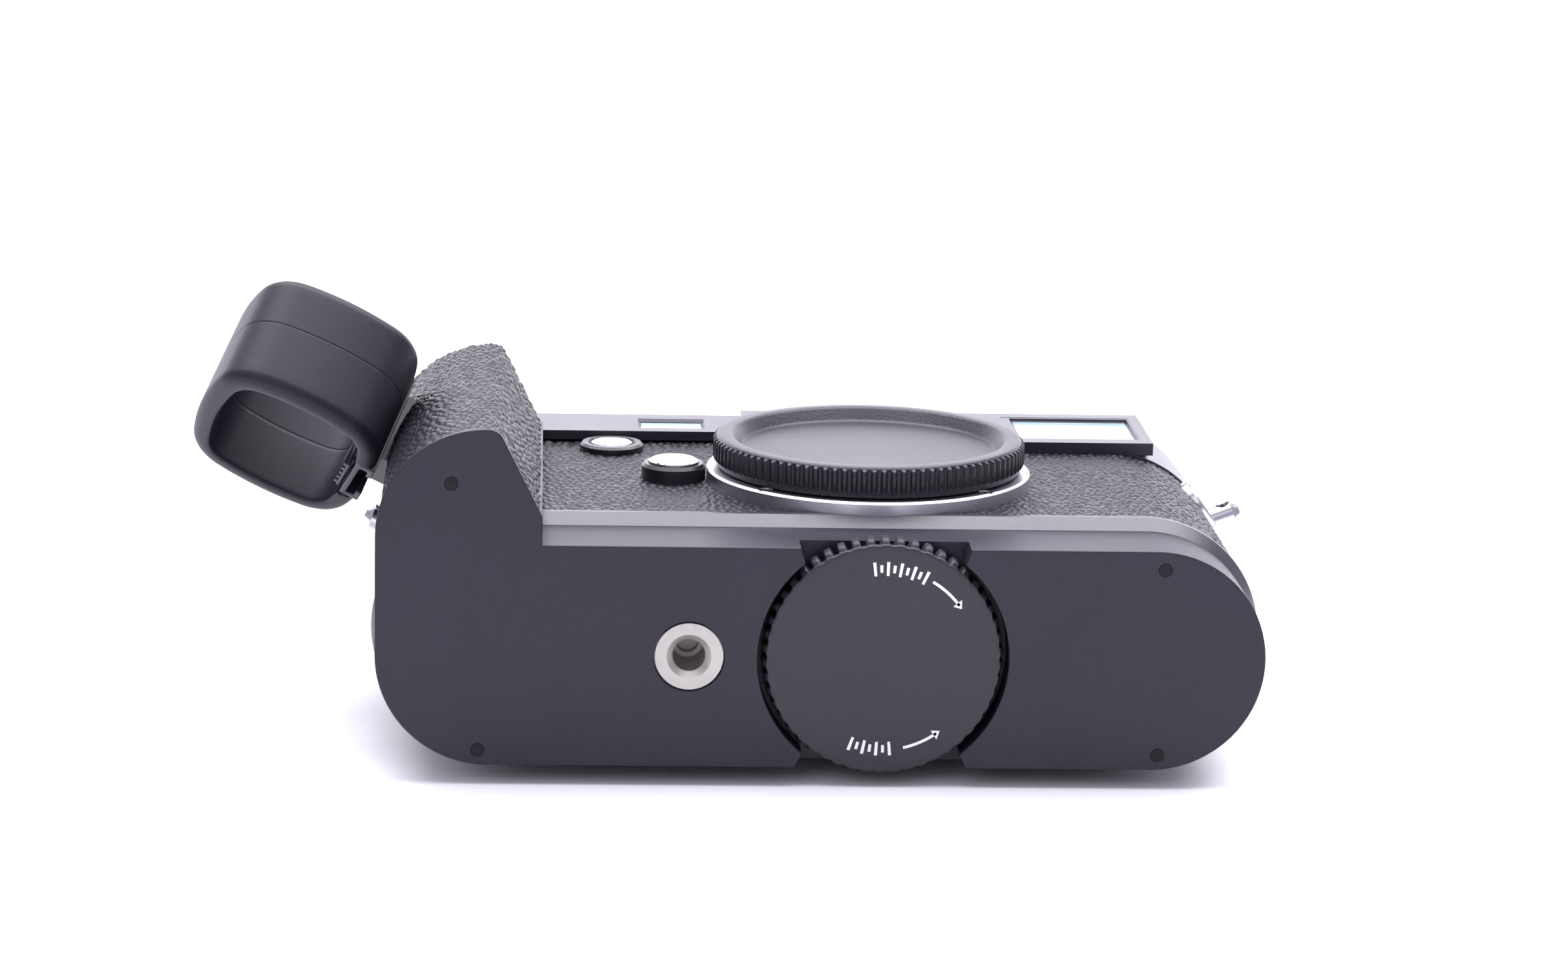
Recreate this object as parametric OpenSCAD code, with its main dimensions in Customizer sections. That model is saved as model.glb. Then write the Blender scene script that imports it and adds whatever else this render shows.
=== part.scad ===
// Rangefinder camera lying on its back, with a hand grip base and a finger loop.
// Row frame: X towards the viewfinder window, Y towards the top plate, Z out of the lens.
// The origin is where the lens axis meets the plane the back rests on.  Millimetres.

/* [Body] */
// Overall width of the grip base along X
body_w = 138.6; // [137:0.1:141]
// Radius of the rounded ends of the base
end_r = 17.6; // [17.4:0.1:17.8]
// Depth of the grip base along Y
base_d = 15.7; // [15:0.1:15.9]
// Height of the low side of the top plate above the base face
low_h = 83.6; // [83:0.1:84.2]
// Height of the high side of the top plate above the base face
high_h = 88; // [87.6:0.1:90]
// Thickness of the leather covering
leather_t = 0.6; // [0.4:0.05:0.7]

/* [Lens mount] */
// Outer radius of the lens mount ring
ring_r = 26.4; // [26.2:0.05:26.5]
// Outer radius of the body cap
cap_r = 25.4; // [25:0.1:26]
// Number of grip teeth around the body cap
cap_teeth = 100; // [60:2:110]

/* [Lock wheel] */
// Radius of the lock wheel over its teeth
wheel_r = 18.9; // [17.5:0.1:19]
// Number of teeth around the lock wheel
wheel_teeth = 50; // [36:1:60]
// Radius of the recess the lock wheel turns in
recess_r = 19.6; // [19.2:0.1:20]

/* [Grip] */
// Radius of the rounded side of the hand grip
bump_r = 17.08; // [16.9:0.02:17.2]
// Length of the hand grip above the base face
grip_len = 71; // [68:0.5:71.4]

/* [Finger loop] */
// Angle of the loop's outward direction in the XZ plane
loop_ang = 154; // [148:1:158]
// Tilt of the loop's axis out of the Y direction
loop_tilt = 46; // [40:1:52]
// Length of the loop along its axis
loop_len = 21.5; // [20:0.5:25]
// Half width of the loop across the finger, away from the grip
loop_hn = 14.9; // [14.6:0.1:16]
// Half width of the loop across the finger, along the grip
loop_hw = 15.8; // [15:0.1:17]
// Wall thickness of the loop
loop_wall = 3.3; // [3.2:0.1:3.6]

/* [Small parts] */
// Radius of the shutter speed dial
dial_r = 9.2; // [8.5:0.1:9.4]
// Number of grip teeth around the shutter speed dial
dial_teeth = 48; // [32:2:60]
// Number of teeth around the rear thumb wheel
thumb_teeth = 36; // [24:2:48]

/* [Hidden] */
$fn = 72;
cx = -9.48;
y0 = -42.42;
xl = cx - body_w / 2 + end_r;
xr = cx + body_w / 2 - end_r;
zb = 3.2 + end_r;
base_top = zb + end_r;
yb = y0 + base_d;
ylow = y0 + low_h;
yhigh = y0 + high_h;
bz = 21.25;
br = 18.05;
lr = br + leather_t;
rim_r = lr + 0.05;
tr = 18.9;
ly0 = -24.95;
ly1 = 27.2;
py = 22.3;
px0 = 14;
px1 = 49.9;
step_x = -18.98;
panel_z = 41.6;
flange_z = 42;
wz = 20.75;
wy1 = y0 + 5;
rel_x = -31.8;
rel_y = 0.08;
foc_x = -41.55;
foc_y = 21.7;
plugs = [[-67.1, 48], [-62.8, 5.65], [43.5, 35.5], [43.4, 5.6]];
tri_x = -30.2;
tri_z = 20.95;
bxc = -78.78 + 17.08 - (body_w - 138.6) / 2;
bzc = 39.4;
bn = [0.8968, 0.4424];
bd = -28.73 - 0.8968 * (body_w - 138.6) / 2;
sh_r = 2.6;
gy1 = y0 + grip_len;
lug_y = 17.6;
lug_r = 2.15;
lug_tilt = 20;
lug_eye = 2.65;
lug_seat = 19.2;
washer_r = 4.6;
washer_turn = 10.5;
// each lug: the angle round the body's end where it stands, and how far it is set out
lug_right = [25.5, 0];
lug_left = [20, -1.4];
dial_x = -36;
dial_z = 23;
sw_x = -54.4;
sw_z = 23;
mov_x = -67.5;
mov_z = 21;
pad_x = -46;
pad_y = -3;
btn_x = 37.1;
btn_y = [-20.3, -12.8, -5.3, 2.2, 9.7, 17.2];
tw_x = -52.5;
tw_y = 17.4;
tw_z = 7.4;
eye_x = 36;
eye_y = 34.3;
vn = [cos(loop_ang), 0, sin(loop_ang)];
vt = [sin(loop_ang), 0, -cos(loop_ang)];
va = [vt[0] * sin(loop_tilt), cos(loop_tilt), vt[2] * sin(loop_tilt)];
vw = cross(va, vn);
lc = [bxc, 4.07, bzc] + vn * (bump_r + loop_hn + 0.45) - vt * 1.44 - va * 0.75;
lm = [[vn[0], vw[0], va[0], lc[0]], [vn[1], vw[1], va[1], lc[1]], [vn[2], vw[2], va[2], lc[2]]];
lrc = 8.5;

// ---- helpers -------------------------------------------------------------

module bar(x0, x1, ya, yc, z0, z1) {
    translate([x0, ya, z0]) cube([x1 - x0, yc - ya, z1 - z0]);
}

module ex(ya, yc) {
    translate([0, yc, 0]) rotate([90, 0, 0]) linear_extrude(height = yc - ya) children();
}

module ycyl(x, z, r, ya, yc) {
    translate([x, ya, z]) rotate([-90, 0, 0]) cylinder(r = r, h = yc - ya);
}

module ycone(x, z, ra, rc, ya, yc) {
    translate([x, ya, z]) rotate([-90, 0, 0]) cylinder(r1 = ra, r2 = rc, h = yc - ya);
}

module zcyl(x, y, r, z0, z1) {
    translate([x, y, z0]) cylinder(r = r, h = z1 - z0);
}

module xcyl(y, z, r, x0, x1) {
    translate([x0, y, z]) rotate([0, 90, 0]) cylinder(r = r, h = x1 - x0);
}

module stad(r, zc) {
    translate([xl, zc]) circle(r);
    translate([xr, zc]) circle(r);
    translate([xl, zc - r]) square([xr - xl, 2 * r]);
}

// the same outline, its radius changing along Y
module stad_cone(ya, yc, ra, rc, zc) {
    ycone(xl, zc, ra, rc, ya, yc);
    ycone(xr, zc, ra, rc, ya, yc);
    translate([xl, 0, 0]) rotate([90, 0, 90]) linear_extrude(height = xr - xl)
        polygon([[ya, zc - ra], [yc, zc - rc], [yc, zc + rc], [ya, zc + ra]]);
}

// outline of the grip bulge, set in by o
module bump(o) {
    vx = xl + 8.1 - o;
    cxs = (bd - sh_r - bn[1] * (bzc + bump_r - sh_r)) / bn[0];
    intersection() {
        translate([bxc, bzc]) circle(bump_r - o);
        translate([bxc - 30, bzc - 6]) square([30, 36]);
    }
    translate([bxc - bump_r + o, 31.5]) square([bump_r - o, bzc - 31.5]);
    translate([cxs, bzc + bump_r - sh_r]) circle(sh_r - o);
    polygon([[bxc - 8, 31.5], [bxc - 8, bzc + 12], [bxc, bzc + bump_r - o], [cxs, bzc + bump_r - o],
        [cxs + bn[0] * (sh_r - o), bzc + bump_r - sh_r + bn[1] * (sh_r - o)],
        [vx, (bd - o - bn[0] * vx) / bn[1]], [vx, 31.5]]);
}

// the bulge under its leather, with the bare strip at the foot
module bump_core() {
    bump(leather_t);
    intersection() {
        bump(0);
        translate([bxc, 20]) square([30, 22.8]);
    }
}

// the strip of leather round the bulge
module leather_wrap() {
    difference() {
        bump(0);
        bump(leather_t);
        translate([bxc, 20]) square([30, 22.8]);
    }
}

module base_plan() {
    stad(end_r, zb);
    translate([xl - end_r, zb]) square([end_r + 8.1, base_top - zb]);
    translate([xl, 30]) square([8.1, base_top - 30]);
}

module slot_trap(za, zc, xa, xc) {
    polygon([[-xa, za], [xa, za], [xc, zc], [-xc, zc]]);
}

module toothed(r, d, n) {
    difference() {
        circle(r);
        for (i = [0:n - 1]) rotate(i * 360 / n) translate([r, 0]) circle(d, $fn = 4);
    }
}

// rounded ring section: x inner r0, outer r1, half length h
module band_section(r0, r1, h) {
    difference() {
        translate([r0, -h]) square([r1 - r0, 2 * h]);
        for (s = [-1, 1]) {
            difference() {
                translate([r1 - 2, s * h - (s > 0 ? 2 : 0)]) square([3, 2]);
                translate([r1 - 2, s * (h - 2)]) circle(2);
            }
        }
    }
}

// closed ring of four corners and four flat sides
module band_solid() {
    r1 = lrc;
    r0 = lrc - loop_wall;
    h = loop_len / 2;
    ax = loop_hn - lrc;
    aw = loop_hw - lrc;
    for (q = [0:3]) {
        sx = (q == 0 || q == 3) ? 1 : -1;
        sw = (q < 2) ? 1 : -1;
        translate([sx * ax, sw * aw, 0]) rotate([0, 0, q * 90])
            rotate_extrude(angle = 90) band_section(r0, r1, h);
    }
    translate([ax, aw, 0]) rotate([90, 0, 0]) linear_extrude(height = 2 * aw) band_section(r0, r1, h);
    translate([-ax, -aw, 0]) rotate([90, 0, 180]) linear_extrude(height = 2 * aw)
        band_section(r0, r1, h);
    translate([-ax, aw, 0]) rotate([90, 0, 90]) linear_extrude(height = 2 * ax)
        band_section(r0, r1, h);
    translate([ax, -aw, 0]) rotate([90, 0, 270]) linear_extrude(height = 2 * ax)
        band_section(r0, r1, h);
}

// ---- body ----------------------------------------------------------------

module chassis() {
    color([0.20, 0.20, 0.22]) difference() {
        union() {
            ex(ly0 - 0.03, ly1) stad(br, bz);
            ex(yb + 0.59, ly0 - 0.02) stad(rim_r, bz);
            stad_cone(yb + 0.1, yb + 0.6, rim_r - 0.4, rim_r, bz);
        }
        difference() {
            ex(yb - 1, ly1 + 1) stad(br - 1.8, bz);
            bar(-26.5, -25, -24, 24, 9, 40);
            bar(25, 26.5, -24, 24, 9, 40);
            zcyl(0, 0, 27, 33, 40);
        }
        zcyl(0, 0, 23.6, 30, 45);
        bar(xl + 1, xr - 1, -25.1, 25.7, -1, 6);
        zcyl(rel_x, rel_y, 4.6, 30, 45);
        zcyl(foc_x, foc_y, 3.9, 30, 45);
        for (i = [0:3]) rotate([0, 0, 45 + 90 * i]) zcyl(24.95, 0, 0.9, 35, 45);
        lug_holes(washer_r);
        zcyl(rel_x, rel_y, 5.5, 30, 36.9);
        zcyl(0, 0, ring_r + 0.02, br + bz, 45);
        bar(px0 - 0.3, 80, py - 0.3, 30, 39, 45);
    }
}

module bottom_plate() {
    color([0.12, 0.12, 0.13]) difference() {
        ex(yb + 0.1, yb + 1.3) stad(br - 1.85, bz);
        bar(-57.2, -29.8, yb - 1, yb + 3, 11.8, 31.2);
        bar(29.8, 54.2, yb - 1, yb + 3, 13.7, 16.4);
        ycyl(0, wz, 6.3, yb - 1, yb + 3);
        zcyl(0, 0, 27.1, 32.9, 40);
    }
}

module front_leather() {
    color([0.06, 0.06, 0.07]) difference() {
        ex(ly0, ly1) difference() {
            stad(lr, bz);
            stad(br, bz);
        }
        bar(xl - 0.5, xr + 0.5, -50, 50, -2, 6);
        bar(px0 - 0.3, 90, py - 0.2, 50, -2, 45);
        zcyl(0, 0, ring_r + 0.1, 30, 45);
        zcyl(rel_x, rel_y, 5.2, 30, 45);
        zcyl(foc_x, foc_y, 5.3, 30, 45);
        lug_holes(washer_r + 0.05);
    }
}

module back_cover() {
    color([0.13, 0.13, 0.14]) difference() {
        union() {
            bar(xl + 1.1, xr - 1.1, -25, 25.6, 1.2, 3.1);
            bar(tw_x - 2.6, tw_x + 2.6, tw_y - 1.6, tw_y - 0.3, 3, 10);
            bar(tw_x - 2.6, tw_x + 2.6, tw_y + 5.3, tw_y + 6.6, 3, 10);
        }
        zcyl(pad_x, pad_y, 9, 0, 5);
        for (y = btn_y) bar(btn_x - 2.9, btn_x + 2.9, y - 2.2, y + 2.2, 0, 5);
        bar(tw_x - 6.4, tw_x + 6.4, tw_y - 0.3, tw_y + 5.3, 0, 3.2);
        ycyl(tw_x, tw_z, 1.2, tw_y - 1.2, tw_y + 6.2);
    }
}

module back_leather() {
    color([0.06, 0.06, 0.07]) difference() {
        bar(xl + 1.1, xr - 1.1, -25, 25.6, 1.2 - leather_t, 1.2);
        bar(-33, 33, -24.1, 21.9, 0, 2);
        zcyl(pad_x, pad_y, 9.3, 0, 5);
        for (y = btn_y) bar(btn_x - 3.2, btn_x + 3.2, y - 2.5, y + 2.5, 0, 5);
        bar(tw_x - 6.8, tw_x + 6.8, tw_y - 0.7, tw_y + 5.7, 0, 3.2);
    }
}

module monitor_frame() {
    color([0.05, 0.05, 0.06]) difference() {
        bar(-33, 33, -24.1, 21.9, 0, 1.2);
        bar(-30.6, 30.6, -21.7, 19.5, -1, 2);
    }
}

module monitor_glass() {
    color([0.1, 0.1, 0.12, 0.6]) bar(-30.6, 30.6, -21.7, 19.5, 0, 1.2);
}

module back_button(y) {
    color([0.1, 0.1, 0.11]) {
        bar(btn_x - 2.82, btn_x + 2.82, y - 2.12, y + 2.12, 0.1, 3.5);
        bar(btn_x - 3.4, btn_x + 3.4, y - 2.7, y + 2.7, 3.45, 4.4);
    }
}

module rear_button_1() { back_button(btn_y[0]); }
module rear_button_2() { back_button(btn_y[1]); }
module rear_button_3() { back_button(btn_y[2]); }
module rear_button_4() { back_button(btn_y[3]); }
module rear_button_5() { back_button(btn_y[4]); }
module rear_button_6() { back_button(btn_y[5]); }

module direction_pad() {
    color([0.1, 0.1, 0.11]) difference() {
        union() {
            translate([pad_x, pad_y, 0.1]) cylinder(r1 = 8.4, r2 = 8.95, h = 0.6);
            zcyl(pad_x, pad_y, 8.95, 0.69, 3.5);
            zcyl(pad_x, pad_y, 9.8, 3.4, 4.4);
        }
        zcyl(pad_x, pad_y, 3.25, -1, 5);
        translate([pad_x, pad_y, 0]) cylinder(r1 = 5.4, r2 = 4.4, h = 0.7);
    }
}

module pad_button() {
    color([0.16, 0.16, 0.17]) {
        zcyl(pad_x, pad_y, 3.2, 0.15, 4.9);
        zcyl(pad_x, pad_y, 4.2, 4.8, 5.6);
    }
}

module thumb_wheel() {
    color([0.08, 0.08, 0.09]) difference() {
        ex(tw_y, tw_y + 5) translate([tw_x, tw_z]) toothed(7, 0.35, thumb_teeth);
        ycyl(tw_x, tw_z, 1.25, tw_y - 1, tw_y + 6);
    }
}

module thumb_axle() {
    color([0.6, 0.6, 0.62]) ycyl(tw_x, tw_z, 1.2, tw_y - 1.2, tw_y + 6.2);
}

module thumb_rest() {
    color([0.15, 0.15, 0.17]) difference() {
        bar(-62, -44, ly1 + 0.3, 38, 0, bz - tr);
        translate([-53, 32, -9.2]) rotate([0, 90, 90]) translate([0, 0, -2])
            cylinder(r = 9.8, h = 4.5);
    }
}

module eyepiece_ring() {
    color([0.1, 0.1, 0.11]) difference() {
        union() {
            translate([eye_x, eye_y, 0]) cylinder(r1 = 7.8, r2 = 8.2, h = 0.4);
            zcyl(eye_x, eye_y, 8.2, 0.39, bz - tr);
            zcyl(eye_x, eye_y, 6.6, bz - tr - 0.1, 6.5);
        }
        zcyl(eye_x, eye_y, 5.2, -1, 7);
        translate([eye_x, eye_y, -0.01]) cylinder(r1 = 6.4, r2 = 5.2, h = 0.9);
    }
}

module eyepiece_lens() {
    color([0.6, 0.7, 0.8, 0.35]) zcyl(eye_x, eye_y, 5.2, 1.4, 3.4);
}

// ---- top plate -----------------------------------------------------------

module top_plate() {
    color([0.15, 0.15, 0.17]) difference() {
        union() {
            ex(ly1 + 0.3, ylow) stad(tr, bz);
            ex(ly1 + 0.3, yhigh) intersection() {
                stad(tr, bz);
                translate([step_x, -10]) square([200, 100]);
            }
            bar(xl, px1, ly1 + 0.3, ylow, 30, panel_z);
            bar(step_x, px1, ly1 + 0.3, yhigh, 30, panel_z);
            bar(px0, px1, py, ly1 + 0.31, 39.5, panel_z);
            ex(py, ly1 + 0.31) intersection() {
                difference() {
                    stad(tr, bz);
                    stad(br + 0.1, bz);
                }
                translate([px0, 6.5]) square([100, 60]);
            }
            ycyl(sw_x, sw_z, 5.1, ylow - 0.1, ylow + 2.8);
        }
        difference() {
            union() {
                ex(20, ylow - 1.4) stad(tr - 1.6, bz);
                ex(20, yhigh - 1.4) intersection() {
                    stad(tr - 1.6, bz);
                    translate([step_x + 1.5, -10]) square([200, 100]);
                }
                bar(xl + 1.5, px1 - 1.5, ly1 - 1, ylow - 1.4, 20, panel_z - 1.6);
                bar(step_x + 1.5, px1 - 1.5, ly1 - 1, yhigh - 1.4, 20, panel_z - 1.6);
            }
            bar(-12, 12, yhigh - 3.2, yhigh, 10, 32);
            ycyl(sw_x, sw_z, 7, ylow - 3, ylow);
        }
        bar(25.9, 48, 25.2, 42.6, 36, 45);
        bar(-36.4, -26.1, 30.7, 37.2, 36, 45);
        translate([0, 0, panel_z + 0.01]) rotate([180, 0, 0]) translate([-31.25, -33.95, 0])
            rf_bevel();
        zcyl(eye_x, eye_y, 6.6, -1, 6);
        ycyl(dial_x, dial_z, 2, ylow - 3, ylow + 3);
        ycyl(sw_x, sw_z, 3.95, ylow - 4, ylow + 4);
        ycyl(mov_x, mov_z, 2.45, ylow - 4, ylow + 3);
        bar(-10.9, 10.9, yhigh - 1, yhigh + 1, 12, 31);
        for (sx = [-1, 1]) for (sz = [14.5, 28.5])
            ycyl(sx * 6, sz, 0.9, yhigh - 3.3, yhigh);
    }
}

module rf_bevel() {
    polyhedron(points = [[-5.7, -3.8, 0], [5.7, -3.8, 0], [5.7, 3.8, 0], [-5.7, 3.8, 0],
            [-5.1, -3.2, 0.6], [5.1, -3.2, 0.6], [5.1, 3.2, 0.6], [-5.1, 3.2, 0.6]],
        faces = [[0, 1, 2, 3], [4, 5, 1, 0], [7, 6, 5, 4], [5, 6, 2, 1], [6, 7, 3, 2],
            [7, 4, 0, 3]]);
}

module vf_frame() {
    color([0.09, 0.09, 0.1]) difference() {
        bar(25.9, 48, 25.2, 42.6, 39.4, panel_z - 0.05);
        bar(27.9, 47.4, 26.2, 41.5, 39, 45);
        bar(27.4, 47.7, 25.8, 41.9, panel_z - 0.55, 45);
    }
}

module vf_window() {
    color([0.7, 0.8, 0.85, 0.35]) bar(27.9, 47.4, 26.2, 41.5, 39.6, panel_z - 0.65);
}

module rf_window() {
    color([0.7, 0.8, 0.85, 0.35]) bar(-36.4, -26.1, 30.7, 37.2, 39.9, panel_z - 0.65);
}

module rangefinder_block() {
    color([0.25, 0.25, 0.27]) difference() {
        union() {
            bar(27, 47, 27.9, 40.5, 7, 39);
            bar(-35, 27.1, 31, 37, 30, 39);
        }
        bar(29, 45, 29.5, 38.9, 12, 41);
        zcyl(eye_x, eye_y, 4.6, 6, 13);
        bar(-33.5, -29, 32, 36, 33, 41);
    }
}

module hot_shoe() {
    color([0.35, 0.35, 0.37]) difference() {
        union() {
            bar(-10.9, 10.9, yhigh - 1, yhigh - 0.2, 12, 31);
            bar(-10.9, -9.35, yhigh - 0.3, yhigh + 2.7, 12, 31);
            bar(9.35, 10.9, yhigh - 0.3, yhigh + 2.7, 12, 31);
            bar(-10.9, -6.3, yhigh + 1.85, yhigh + 2.7, 12, 31);
            bar(6.3, 10.9, yhigh + 1.85, yhigh + 2.7, 12, 31);
            bar(-10.9, 10.9, yhigh - 0.3, yhigh + 1.2, 29.8, 31);
        }
        for (sx = [-1, 1]) for (sz = [14.5, 28.5])
            ycone(sx * 6, sz, 0.95, 1.65, yhigh - 1.01, yhigh - 0.19);
        for (p = [[0, 21.5], [-3.2, 19], [3.2, 19], [-3.2, 25], [3.2, 25]])
            ycyl(p[0], p[1], 1.1, yhigh - 0.6, yhigh);
    }
}

module shoe_contacts() {
    color([0.8, 0.65, 0.3])
        for (p = [[0, 21.5], [-3.2, 19], [3.2, 19], [-3.2, 25], [3.2, 25]])
            ycyl(p[0], p[1], 1.1, yhigh - 0.6, yhigh - 0.1);
}

module shoe_screws() {
    color([0.7, 0.7, 0.72]) for (sx = [-1, 1]) for (sz = [14.5, 28.5]) {
        difference() {
            union() {
                ycone(sx * 6, sz, 0.9, 1.6, yhigh - 1, yhigh - 0.2);
                ycyl(sx * 6, sz, 0.9, yhigh - 3.3, yhigh - 0.99);
            }
            bar(sx * 6 - 1.1, sx * 6 + 1.1, yhigh - 0.5, yhigh, sz - 0.15, sz + 0.15);
            bar(sx * 6 - 0.15, sx * 6 + 0.15, yhigh - 0.5, yhigh, sz - 1.1, sz + 1.1);
        }
    }
}

module dial_post() {
    color([0.5, 0.5, 0.52]) {
        ycyl(dial_x, dial_z, 2, ylow - 1.5, ylow + 4);
        ycyl(dial_x, dial_z, 4, ylow - 2.6, ylow - 1.4);
    }
}

module shutter_dial() {
    color([0.1, 0.1, 0.11]) difference() {
        union() {
            ex(ylow + 0.3, ylow + 3.9) translate([dial_x, dial_z]) toothed(dial_r, 0.35, dial_teeth);
            ycone(dial_x, dial_z, dial_r - 0.5, dial_r - 1.4, ylow + 3.89, ylow + 4.9);
        }
        ycyl(dial_x, dial_z, 2.05, ylow, ylow + 4.1);
    }
}

module power_switch() {
    color([0.1, 0.1, 0.11]) difference() {
        union() {
            ycyl(sw_x, sw_z, 7.6, ylow + 0.3, ylow + 2.2);
            ycone(sw_x, sw_z, 7.6, 6.6, ylow + 2.19, ylow + 2.9);
            bar(sw_x - 1.5, sw_x + 1.5, ylow + 0.5, ylow + 2.1, sw_z + 6.5, sw_z + 10.2);
        }
        ycyl(sw_x, sw_z, 5.15, ylow - 1, ylow + 4);
    }
}

module shutter_button() {
    color([0.75, 0.75, 0.77]) difference() {
        union() {
            ycyl(sw_x, sw_z, 3.9, ylow - 2.4, ylow + 4.3);
            ycone(sw_x, sw_z, 3.9, 3.1, ylow + 4.29, ylow + 4.9);
            ycyl(sw_x, sw_z, 5.2, ylow - 4.6, ylow - 3.2);
            ycyl(sw_x, sw_z, 2.2, ylow - 3.3, ylow - 2.3);
        }
        ycone(sw_x, sw_z, 1.2, 1.7, ylow - 1.5, ylow + 5);
    }
}

module movie_button() {
    color([0.12, 0.12, 0.13]) {
        ycyl(mov_x, mov_z, 2.4, ylow - 1.8, ylow + 0.9);
        ycyl(mov_x, mov_z, 3.2, ylow - 2.6, ylow - 1.7);
    }
}

// ---- lens mount ----------------------------------------------------------

module mount_ring() {
    color([0.78, 0.78, 0.8]) difference() {
        union() {
            zcyl(0, 0, ring_r, br + bz, flange_z - 0.35);
            translate([0, 0, flange_z - 0.36])
                cylinder(r1 = ring_r, r2 = ring_r - 0.35, h = 0.36);
        }
        zcyl(0, 0, 22, 30, 50);
        zcyl(0, 0, 23.4, 30, 40.6);
        for (i = [0:2]) rotate([0, 0, 60 + 120 * i]) intersection() {
            zcyl(0, 0, 23.3, 40, 43);
            translate([0, 0, 39]) linear_extrude(height = 5)
                polygon([[5, -1], [40 * cos(26), -40 * sin(26)], [50, 0], [40 * cos(26), 40 * sin(26)],
                    [5, 1]]);
        }
        for (i = [0:3]) rotate([0, 0, 45 + 90 * i]) {
            zcyl(24.95, 0, 0.9, 35, 45);
            zcyl(24.95, 0, 1.2, 41, 45);
        }
    }
}

module mount_screws() {
    color([0.7, 0.7, 0.72]) for (i = [0:3]) rotate([0, 0, 45 + 90 * i]) difference() {
        union() {
            zcyl(24.95, 0, 0.9, 36, 41.01);
            zcyl(24.95, 0, 1.2, 41, 41.8);
        }
        bar(24.2, 25.7, -0.15, 0.15, 41.4, 42);
        bar(24.8, 25.1, -0.75, 0.75, 41.4, 42);
    }
}

module body_cap() {
    color([0.07, 0.07, 0.08]) difference() {
        union() {
            translate([0, 0, 43.1]) linear_extrude(height = 3.7) toothed(cap_r, 0.4, cap_teeth);
            translate([0, 0, 46.79]) cylinder(r1 = cap_r - 0.35, r2 = cap_r - 0.8, h = 0.5);
            zcyl(0, 0, cap_r - 0.7, 42.3, 43.2);
            zcyl(0, 0, 21.95, 38.9, 42.4);
            for (i = [0:2]) rotate([0, 0, 120 * i]) intersection() {
                zcyl(0, 0, 23.2, 38.9, 40.4);
                translate([0, 0, 38]) linear_extrude(height = 5)
                    polygon([[0, 0], [40 * cos(22), -40 * sin(22)], [50, 0],
                        [40 * cos(22), 40 * sin(22)]]);
            }
        }
        translate([0, 0, 45.2]) cylinder(r1 = 20.6, r2 = 22.3, h = 2.2);
        zcyl(0, 0, 20.2, 38, 43.6);
    }
}

module shutter_frame() {
    color([0.12, 0.12, 0.13]) difference() {
        bar(-24.9, 24.9, -20, 20, 21, 29.5);
        bar(-18.5, 18.5, -12.5, 12.5, 20, 31);
        bar(-23, 23, -18, 18, 24.8, 26.8);
        bar(-20, 20, -14, 14, 20.5, 23);
    }
}

module shutter_blades() {
    color([0.3, 0.3, 0.32]) {
        bar(-22, 22, -13.5, -6.4, 25, 25.4);
        bar(-22, 22, -6.8, 0.4, 25.4, 25.8);
        bar(-22, 22, 0, 7.2, 25, 25.4);
        bar(-22, 22, 6.8, 13.8, 25.4, 25.8);
        bar(-22, -21, -13.5, 13.8, 25.8, 26.4);
        bar(21, 22, -13.5, 13.8, 25.8, 26.4);
        bar(-22, -21, -13.5, -6.4, 25.39, 25.81);
        bar(21, 22, -13.5, -6.4, 25.39, 25.81);
        bar(-22, -21, 0.39, 6.81, 25.39, 25.81);
        bar(21, 22, 0.39, 6.81, 25.39, 25.81);
    }
}

module sensor() {
    color([0.2, 0.3, 0.35]) {
        bar(-19.9, 19.9, -13.9, 13.9, 20.5, 22.9);
        bar(-24, 24, -19, 19, 18.5, 20.6);
    }
}

module main_board() {
    color([0.08, 0.25, 0.12]) {
        bar(-24, 24, -22, 22, 9, 10.4);
        bar(-16, -4, -10, 2, 10.3, 12);
        bar(4, 14, -6, 8, 10.3, 11.6);
        bar(-14, -8, 9, 17, 10.3, 13);
        bar(-21, 21, -20.5, -18.5, 10.3, 18.5);
    }
}

module battery() {
    color([0.15, 0.15, 0.17]) {
        bar(-57, -30, yb + 0.2, 15, 12, 31);
    }
}

module memory_card() {
    color([0.12, 0.13, 0.2]) {
        bar(30, 54, yb + 0.4, 5, 14, 16.1);
    }
}

// ---- front buttons -------------------------------------------------------

module release_collar() {
    color([0.05, 0.05, 0.06]) difference() {
        union() {
            zcyl(rel_x, rel_y, 5.2, br + bz, 41.9);
            translate([rel_x, rel_y, 41.89]) cylinder(r1 = 5.2, r2 = 4.8, h = 0.5);
        }
        zcyl(rel_x, rel_y, 4.15, 38, 44);
    }
}

module release_button() {
    color([0.85, 0.85, 0.86]) {
        zcyl(rel_x, rel_y, 4.1, 36.5, 42.7);
        translate([rel_x, rel_y, 42.69]) cylinder(r1 = 4.1, r2 = 3.4, h = 0.4);
        translate([rel_x, rel_y, 43.08]) cylinder(r1 = 3.4, r2 = 1.6, h = 0.25);
        zcyl(rel_x, rel_y, 5.2, 35.4, 36.6);
    }
}

module focus_collar() {
    color([0.05, 0.05, 0.06]) difference() {
        union() {
            zcyl(foc_x, foc_y, 5.3, br + bz, 40.6);
            translate([foc_x, foc_y, 40.59]) cylinder(r1 = 5.3, r2 = 4.9, h = 0.4);
        }
        zcyl(foc_x, foc_y, 3.45, 38, 44);
        translate([foc_x, foc_y, 40.4]) cylinder(r1 = 3.6, r2 = 4.1, h = 0.7);
    }
}

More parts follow.
